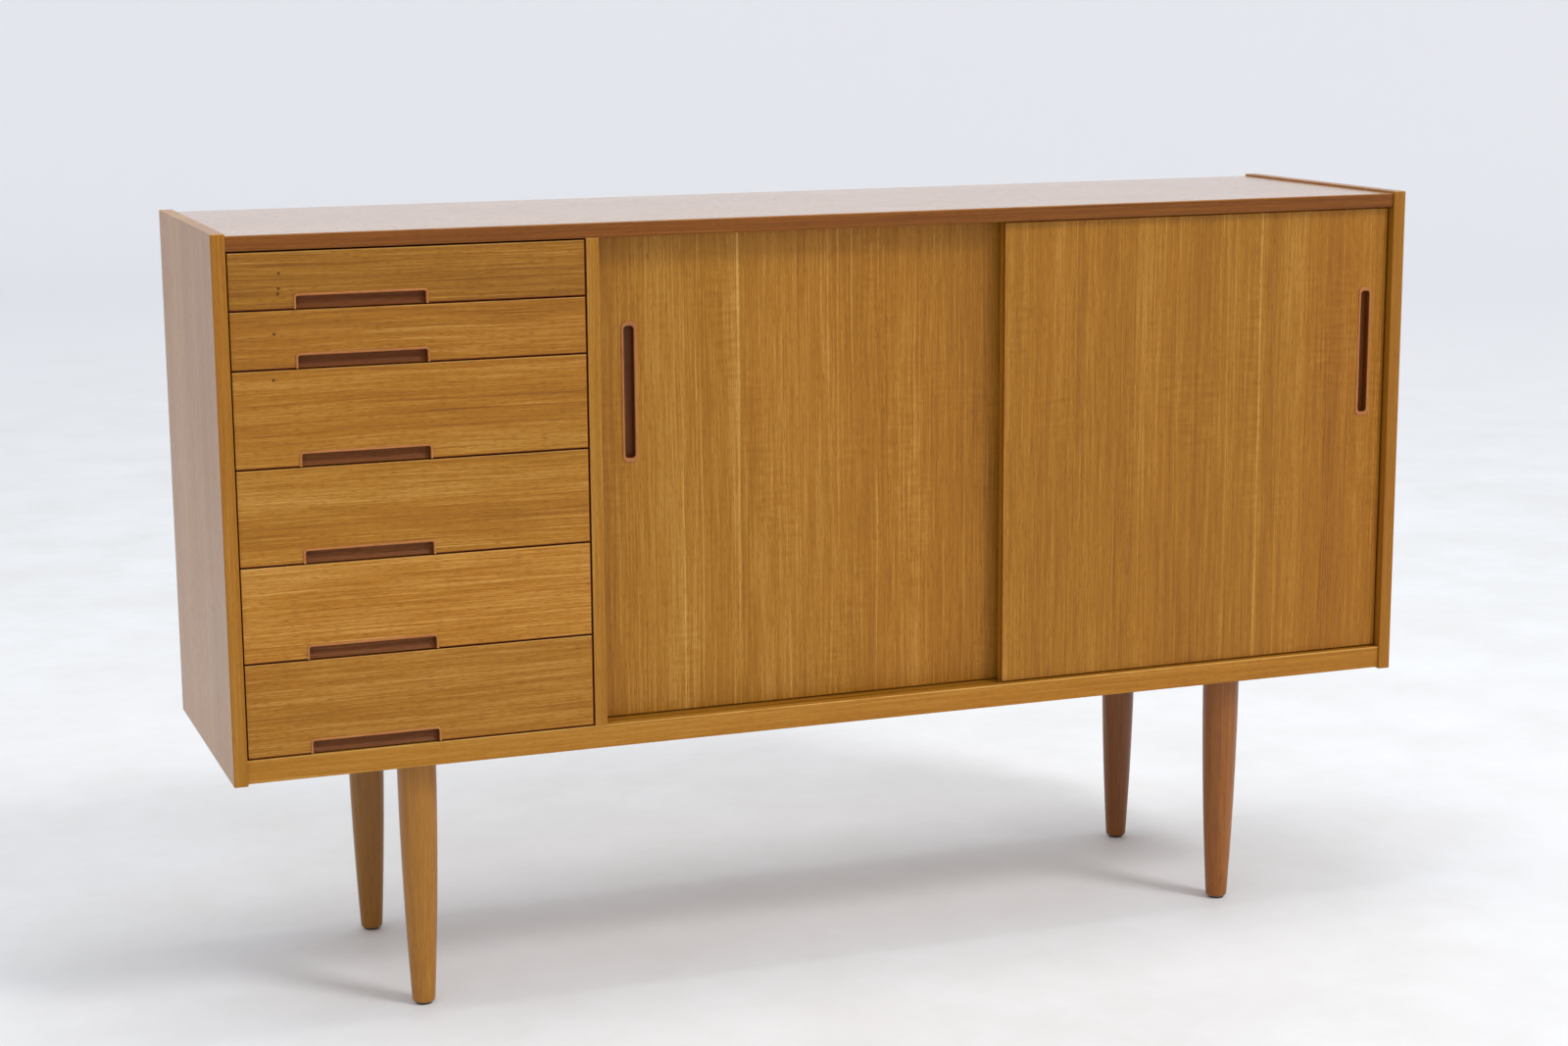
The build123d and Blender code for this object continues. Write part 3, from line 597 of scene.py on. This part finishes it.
@dataclass(frozen=True)
class Veneer(Timber):
    """Teak leaves of equal width laid side by side across a door, one seam of them paler."""

    leaves: int = 3
    pale_seam: int = 1

    def figure(
        self, sheet: Sheet, along: Signal, across: Signal, deep: Signal
    ) -> tuple[Signal, Signal, Signal]:
        """Draw each leaf's figure and the pale seam.

        Args:
            sheet: the sheet to draw on.
            along: coordinate along the fibres.
            across: coordinate across the fibres.
            deep: coordinate into the board.

        Returns:
            The lightness, the fibres and the pores.
        """
        low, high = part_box(self.board)
        width = (high[0] - low[0]) / self.leaves
        run = (across - low[0] - self.shift[0]) / width
        number = run.floor()
        within = (run - number) * width
        value, fibre, pore = super().figure(sheet, along, within, deep + number * 0.031)
        offset = run - self.pale_seam
        soft = offset.step(-0.11, -0.02) * offset.step(0.035, -0.005)
        thin = offset.step(-0.030, -0.018) * offset.step(-0.004, -0.012)
        return value + soft * 0.05 + thin * 0.16, fibre, pore


@dataclass(frozen=True)
class CarvedTeak(Timber):
    """Solid teak with a lip polished pale by hands and a dark recess behind it, darker partly in the
    wood and partly by painted shade.
    """

    lip_depth: float = 0.0022

    def lip(self, sheet: Sheet) -> Signal:
        """Find the lip.

        Args:
            sheet: the sheet to draw on.

        Returns:
            1 on the lip and 0 in the recess.
        """
        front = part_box(self.board)[0][1]
        return (sheet.place()[1] - front).step(self.lip_depth, self.lip_depth * 0.4)

    def paint(self, sheet: Sheet, value: Signal) -> Signal:
        """Turn lightness into the wood's colours, paler on the lip.

        Args:
            sheet: the sheet to draw on.
            value: the lightness.

        Returns:
            The colour.
        """
        # The recess keeps the darker colours, partly the wood and partly painted shade.
        lip = sheet.ramp(value, LIP_TEAK.stops())
        return sheet.mix(self.lip(sheet), super().paint(sheet, value), lip)

    def lacquered(self, sheet: Sheet) -> Number:
        """The lip's polish."""
        return self.lip(sheet) * self.lacquer


@dataclass(frozen=True)
class Metal:
    """Zinc-plated steel with a cloudy, slightly scratched surface."""

    name: str
    bright: Colour = (0.62, 0.62, 0.60)
    dull: Colour = (0.36, 0.36, 0.35)

    def material(self) -> bpy.types.Material:
        """Build the finish.

        Returns:
            The material.
        """
        sheet = Sheet(self.name)
        x, y, z = sheet.place()
        cloud = sheet.even((x, y, z), 60, detail=4.0, rough=0.6)
        scratch = sheet.noise((x * 900, y * 900, z * 120), 2.0).step(0.55, 0.75)
        colour = sheet.ramp(cloud, [(0.3, self.dull), (0.7, self.bright)])
        rough = 0.28 + cloud * 0.25 + scratch * 0.15
        sheet.dress(colour, rough, cloud + scratch * 0.4, 0.00004, Metallic=1.0)
        return sheet.material


@dataclass(frozen=True)
class Plastic:
    """Dark moulded plastic, scuffed where it slides."""

    name: str
    body: Colour = (0.018, 0.016, 0.014)
    scuffed: Colour = (0.075, 0.068, 0.060)

    def material(self) -> bpy.types.Material:
        """Build the finish.

        Returns:
            The material.
        """
        sheet = Sheet(self.name)
        scuff = sheet.even(sheet.place(), 220, detail=4.0, rough=0.65)
        colour = sheet.ramp(scuff, [(0.45, self.body), (0.75, self.scuffed)])
        sheet.dress(colour, 0.42 + scuff * 0.25, scuff, 0.00006)
        return sheet.material


@dataclass(frozen=True)
class FloorPaint:
    """A pale painted floor with faint cloudy wear, whiter where it sweeps up."""

    name: str = "floor_paint"
    pale: Colour = shade(234, 235, 236)
    worn: Colour = shade(226, 226, 225)
    wall: Colour = shade(236, 236, 238)
    wall_fade: tuple[float, float] = (2.5, 8.0)
    wall_rise: tuple[float, float] = (0.0, 0.5)

    def material(self) -> bpy.types.Material:
        """Build the finish.

        Returns:
            The material.
        """
        sheet = Sheet(self.name)
        x, y, z = sheet.place()
        reach = sheet.math("SQRT", x * x + y * y)
        cloud = sheet.noise((x * 3.0, y * 3.0, 0.0), 8.0, 0.7)
        colour = sheet.ramp(cloud, [(0.35, self.worn), (0.65, self.pale)])
        far = sheet.math("MAXIMUM", reach.step(*self.wall_fade), z.step(*self.wall_rise))
        colour = sheet.mix(far, colour, self.wall)
        sheet.dress(colour, 0.5 + cloud * 0.15, None, 0.0, Specular_IOR_Level=0.25)
        return sheet.material


# ---------------------------------------------------------------------------- pieces
def dress(node: str, finish: bpy.types.Material) -> None:
    """Give a carried-over board its finish.

    Args:
        node: the board's name.
        finish: its material.
    """
    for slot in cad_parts[node].material_slots:
        slot.material = finish
    log.info("%s dressed in %s", node, finish.name)


def new_piece(name: str, mesh: bpy.types.Mesh, finish: bpy.types.Material) -> bpy.types.Object:
    """Put a finished mesh into the scene.

    Args:
        name: the piece's name.
        mesh: its mesh.
        finish: its material.

    Returns:
        The new object.
    """
    piece = bpy.data.objects.new(name, mesh)
    bpy.context.scene.collection.objects.link(piece)
    mesh.materials.append(finish)
    return piece


def lathe(outline: Sequence[tuple[float, float]], sides: int) -> bmesh.types.BMesh:
    """Turn an outline around the vertical axis.

    Args:
        outline: radius and height of each point, from the bottom up; the ends lie on the axis.
        sides: how many facets go round.

    Returns:
        The closed turned form.
    """
    form = bmesh.new()
    rings = []
    for radius, height in outline:
        if radius == 0:
            rings.append([form.verts.new((0, 0, height))])
            continue
        angles = [2 * math.pi * step / sides for step in range(sides)]
        ring = [(radius * math.cos(angle), radius * math.sin(angle), height) for angle in angles]
        rings.append([form.verts.new(place) for place in ring])
    for lower, upper in zip(rings, rings[1:]):
        for step in range(sides):
            following = (step + 1) % sides
            if len(lower) == 1:
                form.faces.new((lower[0], upper[following], upper[step]))
            elif len(upper) == 1:
                form.faces.new((lower[step], lower[following], upper[0]))
            else:
                form.faces.new((lower[step], lower[following], upper[following], upper[step]))
    return form


def to_mesh(form: bmesh.types.BMesh, name: str) -> bpy.types.Mesh:
    """Turn a form into a smooth mesh with outward faces.

    Args:
        form: the form, which is used up.
        name: the mesh's name.

    Returns:
        The mesh.
    """
    bmesh.ops.recalc_face_normals(form, faces=form.faces)
    mesh = bpy.data.meshes.new(name)
    form.to_mesh(mesh)
    form.free()
    mesh.shade_smooth()
    return mesh


@dataclass
class TurnedLeg:
    """One round leg with a swelling taper."""

    node: str
    finish: bpy.types.Material
    foot_radius: float = 14.5 * MILLIMETRE
    foot_rounding: float = 4.0 * MILLIMETRE
    bulge: float = 2.3 * MILLIMETRE
    shoulder: float = 0.8 * MILLIMETRE
    sides: int = 72
    rings: int = 40
    rounding_steps: int = 8

    def outline(self, height: float, top_radius: float) -> list[tuple[float, float]]:
        """Half section of the leg, from its sole up.

        Args:
            height: length of the leg.
            top_radius: its radius at the top.

        Returns:
            Radius and height of each point.
        """
        points = [(0.0, 0.0)]
        centre = self.foot_radius - self.foot_rounding
        for step in range(self.rounding_steps + 1):
            angle = math.pi / 2 * step / self.rounding_steps
            across = centre + self.foot_rounding * math.sin(angle)
            points.append((across, self.foot_rounding * (1 - math.cos(angle))))
        straight = height - self.shoulder - self.foot_rounding
        for ring in range(1, self.rings + 1):
            share = ring / self.rings
            taper = self.foot_radius + (top_radius - self.foot_radius) * share
            swell = self.bulge * 4 * share * (1 - share)
            points.append((taper + swell, self.foot_rounding + straight * share))
        points.append((top_radius - self.shoulder, height))
        points.append((0.0, height))
        return points

    def build(self) -> bpy.types.Object:
        """Turn the leg where the joiner's model has it.

        Returns:
            The leg.
        """
        low, high = (Vector(corner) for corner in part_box(self.node))
        centre = (low + high) / 2
        form = lathe(self.outline(high.z - low.z, (high.x - low.x) / 2), self.sides)
        bmesh.ops.translate(form, vec=(centre.x, centre.y, low.z), verts=form.verts)
        piece = new_piece("turned_" + self.node, to_mesh(form, self.node), self.finish)
        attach(piece, "case")
        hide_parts(self.node)
        log.info("%s turned, %d mm long", piece.name, round((high.z - low.z) / MILLIMETRE))
        return piece


@dataclass
class CrossHeadScrews:
    """Countersunk screws with a cross recess and a thread, where the joiner's model has them."""

    node: str
    finish: bpy.types.Material
    sides: int = 24
    rings: int = 32
    length: float = 15.0 * MILLIMETRE
    point: float = 3.0 * MILLIMETRE
    head_radius: float = 3.2 * MILLIMETRE
    head_height: float = 2.4 * MILLIMETRE
    shank_radius: float = 1.75 * MILLIMETRE
    pitch: float = 1.4 * MILLIMETRE
    thread_depth: float = 0.45 * MILLIMETRE
    recess_reach: float = 1.9 * MILLIMETRE
    recess_depth: float = 1.2 * MILLIMETRE
    arm_width: float = 0.55 * MILLIMETRE
    recess_steps: int = 6
    recess_margin: float = 1.05
    recess_slope: float = 0.6
    rim: float = 0.1 * MILLIMETRE
    turn: float = 2.4
    sharp_angle: float = math.radians(35)

    def outline(self) -> list[tuple[float, float]]:
        """Half section of a screw that points down, with its head's face at zero.

        Returns:
            Radius and height of each point.
        """
        points = [(0.0, -self.length)]
        for ring in range(1, self.rings + 1):
            height = self.head_height + (self.length - self.head_height) * (1 - ring / self.rings)
            radius = self.shank_radius * min(1.0, (self.length - height) / self.point)
            points.append((radius, -height))
        points.append((self.head_radius, -self.rim))
        points.append((self.head_radius - self.rim, 0.0))
        for step in range(self.recess_steps + 1, 0, -1):
            points.append((self.recess_reach * step / self.recess_steps, 0.0))
        points.append((0.0, 0.0))
        return points

    def cut(self, spot: Vector) -> Vector:
        """Cut the thread and the recess.

        Args:
            spot: a point of the plain screw.

        Returns:
            The same point of the finished screw.
        """
        across = Vector((spot.x, spot.y, 0.0))
        if spot.z < -self.head_height - self.pitch / 2:
            turn = spot.z / self.pitch - math.atan2(spot.y, spot.x) / (2 * math.pi)
            groove = 1 - abs(2 * (turn - math.floor(turn)) - 1)
            return spot - across * (groove * self.thread_depth / self.shank_radius)
        in_arm = min(abs(spot.x), abs(spot.y)) < self.arm_width
        if spot.z == 0 and in_arm and across.length < self.recess_reach * self.recess_margin:
            share = across.length / self.recess_reach
            return spot - Vector((0.0, 0.0, self.recess_depth * (1 - self.recess_slope * share)))
        return spot

    def spots(self) -> list[tuple[Vector, Vector]]:
        """Find the screws of the joiner's model.

        Returns:
            The middle of each head's face, and the way the screw points.
        """
        form = bmesh.new()
        form.from_mesh(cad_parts[self.node].data)
        form.transform(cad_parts[self.node].matrix_world)
        bmesh.ops.remove_doubles(form, verts=form.verts, dist=0.001 * MILLIMETRE)
        waiting, found = set(form.verts), []
        while waiting:
            reached = [waiting.pop()]
            spots = []
            while reached:
                vertex = reached.pop()
                spots.append(vertex.co.copy())
                for edge in vertex.link_edges:
                    other = edge.other_vert(vertex)
                    if other in waiting:
                        waiting.remove(other)
                        reached.append(other)
            low = Vector([min(spot[axis] for spot in spots) for axis in range(3)])
            high = Vector([max(spot[axis] for spot in spots) for axis in range(3)])
            axis = max(range(3), key=lambda axis: high[axis] - low[axis])
            rim = max(spots, key=lambda spot: (spot - (low + high) / 2).length)
            head, way = (low + high) / 2, Vector((0.0, 0.0, 0.0))
            way[axis] = 1.0 if rim[axis] < head[axis] else -1.0
            head[axis] = low[axis] if way[axis] > 0 else high[axis]
            found.append((head, way))
        form.free()
        return sorted(found, key=lambda spot: [round(value, 5) for value in spot[0]])

    def build(self) -> bpy.types.Object:
        """Make every screw.

        Returns:
            The screws as one piece.
        """
        single = lathe(self.outline(), self.sides)
        for vertex in single.verts:
            vertex.co = self.cut(vertex.co)
        pattern = to_mesh(single, "screw")
        whole = bmesh.new()
        spots = self.spots()
        for number, (head, way) in enumerate(spots):
            count = len(whole.verts)
            whole.from_mesh(pattern)
            whole.verts.ensure_lookup_table()
            turn = Matrix.Rotation(self.turn * number, 4, "Z")
            facing = Vector((0.0, 0.0, -1.0)).rotation_difference(way).to_matrix().to_4x4()
            place = Matrix.Translation(head) @ facing @ turn
            bmesh.ops.transform(whole, matrix=place, verts=whole.verts[count:])
        bpy.data.meshes.remove(pattern)
        mesh = to_mesh(whole, self.node)
        mesh.set_sharp_from_angle(angle=self.sharp_angle)
        piece = new_piece("cross_head_screws", mesh, self.finish)
        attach(piece, "case")
        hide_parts(self.node)
        log.info("%d cross-head screws cut", len(spots))
        return piece


@dataclass(frozen=True)
class Lamp:
    """A soft oblong lamp."""

    name: str
    place: Place
    target: Place
    size: tuple[float, float]
    watts: float

    def hang(self) -> None:
        """Hang the lamp, facing its target."""
        light = bpy.data.lights.new(self.name, "AREA")
        light.shape = "RECTANGLE"
        light.size, light.size_y = self.size
        light.energy = self.watts
        lamp = bpy.data.objects.new(self.name, light)
        lamp.location = self.place
        way = Vector(self.target) - Vector(self.place)
        lamp.rotation_euler = way.to_track_quat("-Z", "Y").to_euler()
        bpy.context.scene.collection.objects.link(lamp)


@dataclass
class Studio:
    """A pale floor that sweeps up into a backdrop all round, soft lamps and a camera."""

    flat_reach: float = 8.5
    sweep: float = 3.0
    wall_top: float = 4.2
    sides: int = 96
    sweep_steps: int = 12
    camera_place: Place = (-1.31124, -3.44398, 1.25670)
    camera_turn: float = 0.3581
    camera_dip: float = 0.1899
    camera_roll: float = -0.0065
    focal_length: float = 64.15
    film_width: float = 36.0
    sky: Colour = shade(240, 243, 248)
    sky_strength: float = 0.92
    lamps: tuple[Lamp, ...] = (
        Lamp("ceiling", (0.0, 0.0, 4.6), (0.0, 0.0, 0.0), (1.7, 1.0), 46.0),
        Lamp("window", (5.7, -7.2, 9.75), (0.0, 0.0, 0.3), (2.8, 2.8), 610.0),
    )

    def floor(self) -> None:
        """Lay the floor and its backdrop."""
        outline = [(0.0, 0.0), (2.0, 0.0), (self.flat_reach, 0.0)]
        for step in range(1, self.sweep_steps + 1):
            angle = math.pi / 2 * step / self.sweep_steps
            reach = self.flat_reach + self.sweep * math.sin(angle)
            outline.append((reach, self.sweep * (1 - math.cos(angle))))
        outline.append((self.flat_reach + self.sweep, self.wall_top))
        mesh = to_mesh(lathe(outline, self.sides), "studio_floor")
        new_piece("studio_floor", mesh, FloorPaint().material())

    def world(self) -> None:
        """Fill the surroundings with pale light."""
        world = bpy.data.worlds.new("pale_room")
        world.use_nodes = True
        background = world.node_tree.nodes["Background"]
        background.inputs["Color"].default_value = (*self.sky, 1.0)
        background.inputs["Strength"].default_value = self.sky_strength
        scene = bpy.context.scene
        scene.world = world
        scene.view_settings.view_transform = "Standard"

    def camera(self) -> None:
        """Set the camera."""
        lens = bpy.data.cameras.new("view")
        lens.lens = self.focal_length
        lens.sensor_width = self.film_width
        camera = bpy.data.objects.new("view", lens)
        turn = Matrix.Rotation(-self.camera_turn, 4, "Z")
        dip = Matrix.Rotation(math.pi / 2 - self.camera_dip, 4, "X")
        roll = Matrix.Rotation(self.camera_roll, 4, "Z")
        camera.matrix_world = Matrix.Translation(self.camera_place) @ turn @ dip @ roll
        bpy.context.scene.collection.objects.link(camera)
        bpy.context.scene.camera = camera

    def build(self) -> None:
        """Set up the whole studio."""
        self.camera()
        self.floor()
        self.world()
        for lamp in self.lamps:
            lamp.hang()


@dataclass
class Case:
    """The boards of the case, its back, shelves and runners."""

    # The back legs' low tones are painted shade under the case; the right legs' redder teak is their
    # own.
    leg_woods_and_back_shade: tuple[tuple[str, Wood, float], ...] = (
        ("front_left_leg", TEAK, 1.04),
        ("front_right_leg", RED_TEAK, 1.0),
        ("back_left_leg", TEAK, 0.76),
        ("back_right_leg", RED_TEAK, 0.80),
    )
    panels: Sequence[str] = ("left_side_panel", "right_side_panel", "drawer_divider")

    def upright_boards(self) -> None:
        """Dress the side panels, the divider and the partition."""
        for number, node in enumerate(self.panels):
            shift = (0.37 * number, 0.9 * number, 0.0)
            finish = Timber(
                node + "_teak",
                Grain.ALONG_HEIGHT,
                TEAK,
                shift,
                tone=0.96,
                board=node,
                lacquer=0.35,
                bare_front=True,
            )
            dress(node, finish.material())
        partition = Timber("partition_teak", Grain.ALONG_HEIGHT, TEAK, (0.2, 4.0, 0.4), tone=0.95)
        dress("center_partition", partition.material())

    def long_boards(self) -> None:
        """Dress the top, its edging, the rail and the bottom."""
        along = Grain.ALONG_WIDTH
        top = Timber(
            "top_teak", along, TEAK, (3.1, 0.7, 0.2), specular=0.8, roughness=0.24, lacquer=0.8
        )
        edging = Timber("edging_teak", along, RED_TEAK, (5.0, 0.0, 1.0), 0.86, "top_front_edging")
        # The rail's upper front arris gets a strong painted highlight with wear.
        rail = Timber(
            "rail_teak", along, TEAK, (7.7, 0.0, 2.0), 1.06, "bottom_front_rail", highlight_and_wear=0.9, lift=0.05
        )
        inside = Timber("inside_teak", along, TEAK, (1.7, 2.0, 0.4), tone=0.95)
        dress("top_board", top.material())
        dress("top_front_edging", edging.material())
        dress("bottom_front_rail", rail.material())
        shared = inside.material()
        for node in ("bottom_board", "left_shelf", "right_shelf"):
            dress(node, shared)

    def hidden_wood(self) -> None:
        """Dress the back, the runners and the dowels."""
        ply = Timber("back_ply", Grain.ALONG_HEIGHT, PLY, roughness=0.6)
        beech = Timber("runner_beech", Grain.ALONG_DEPTH, BEECH, roughness=0.5)
        dowel = Timber("dowel_beech", Grain.ALONG_WIDTH, BEECH, roughness=0.6)
        dress("back_panel", ply.material())
        shared = beech.material()
        for node in ("left_drawer_runners", "right_drawer_runners"):
            dress(node, shared)
        dress("carcass_dowels", dowel.material())

    def legs(self) -> None:
        """Turn the four legs."""
        # Each leg's tone; the back legs' lower ones paint the shade under the case.
        for number, (node, wood, tone) in enumerate(self.leg_woods_and_back_shade):
            shift = (0.6 * number, 1.3 * number, 0.5)
            finish = Timber(
                node + "_teak", Grain.ALONG_HEIGHT, wood, shift, tone, specular=0.4, roughness=0.3
            )
            TurnedLeg(node, finish.material()).build()

    def build(self) -> None:
        """Dress the whole case."""
        self.upright_boards()
        self.long_boards()
        self.hidden_wood()
        self.legs()


@dataclass
class DrawerStack:
    """The six drawers."""

    tones: Sequence[float] = (0.89, 0.95, 1.03, 1.04, 1.07, 0.95)
    lifts: Sequence[float] = (-0.05, 0.0, 0.02, 0.03, 0.14, 0.02)
    marks: Sequence[Sequence[tuple[float, float]]] = (
        ((-0.722, 0.932), (-0.723, 0.914), (-0.724, 0.908)),
        ((-0.730, 0.861),),
        ((-0.733, 0.807),),
        (),
        (),
        (),
    )

    def build(self) -> None:
        """Dress every drawer."""
        carved = CarvedTeak(
            "pull_teak", Grain.ALONG_WIDTH, PULL_TEAK_AND_RECESS_SHADE, board="drawer_1_pull", highlight_and_wear=0, lacquer=0.3
        )
        pull = carved.material()
        sides = Timber("drawer_beech", Grain.ALONG_DEPTH, BEECH, roughness=0.5).material()
        backs = Timber("drawer_back_beech", Grain.ALONG_WIDTH, BEECH, roughness=0.5).material()
        bottoms = Timber("drawer_ply", Grain.ALONG_WIDTH, PLY, roughness=0.55).material()
        looks = zip(self.tones, self.lifts, self.marks)
        for number, (tone, lift, marks) in enumerate(looks, start=1):
            shift = (1.9 * number, 0.4 * number, 0.77 * number)
            front = Timber(
                f"drawer_{number}_teak",
                Grain.ALONG_WIDTH,
                TEAK,
                shift,
                tone,
                board=f"drawer_{number}_front",
                lift=lift,
                bands=0.55,
                lines=0.26,
                dark_lines=0.14,
                fibres=0.85,
                pores=0.6,
                marks=marks,
                wander=0.014,
                run=2.2,
                # Painted shade in the gaps round each drawer front.
                gap_shade=1.0,
            )
            dress(f"drawer_{number}_front", front.material())
            dress(f"drawer_{number}_pull", pull)
            dress(f"drawer_{number}_sides", sides)
            dress(f"drawer_{number}_back", backs)
            dress(f"drawer_{number}_bottom", bottoms)


@dataclass
class SlidingDoors:
    """The two doors."""

    sides: Sequence[str] = ("left", "right")
    pale_seams: Sequence[int] = (1, 2)

    def build(self) -> None:
        """Dress both doors."""
        glide = Plastic("glide_plastic").material()
        for number, (side, seam) in enumerate(zip(self.sides, self.pale_seams)):
            panel, handle = side + "_door_panel", side + "_door_handle"
            shift = (0.0, 0.33 * number, 1.4 * number)
            veneer = Veneer(
                side + "_door_teak",
                Grain.ALONG_HEIGHT,
                TEAK,
                shift,
                board=panel,
                ripple=0.24,
                pale_seam=seam,
                fibres=0.75,
                pores=0.5,
                # Painted shade in the gaps round the door's edges.
                gap_shade=0.6,
            )
            carved = CarvedTeak(
                side + "_handle_teak",
                Grain.ALONG_HEIGHT,
                PULL_TEAK_AND_RECESS_SHADE,
                shift,
                board=handle,
                highlight_and_wear=0,
                lacquer=0.3,
            )
            dress(panel, veneer.material())
            dress(handle, carved.material())
            dress(side + "_door_glides", glide)


@dataclass
class Hardware:
    """Screws, bolts, plates, pins and pads."""

    def build(self) -> None:
        """Dress the metal and plastic pieces."""
        steel = Metal("zinc_steel").material()
        for node in ("leg_bolts", "leg_plates", "shelf_pins"):
            dress(node, steel)
        CrossHeadScrews("wood_screws", steel).build()
        dress("foot_glides", Plastic("pad_plastic").material())


def main() -> None:
    """Build the sideboard and the studio around it."""
    Studio().build()
    Case().build()
    DrawerStack().build()
    SlidingDoors().build()
    Hardware().build()


if __name__ == "__main__":
    main()
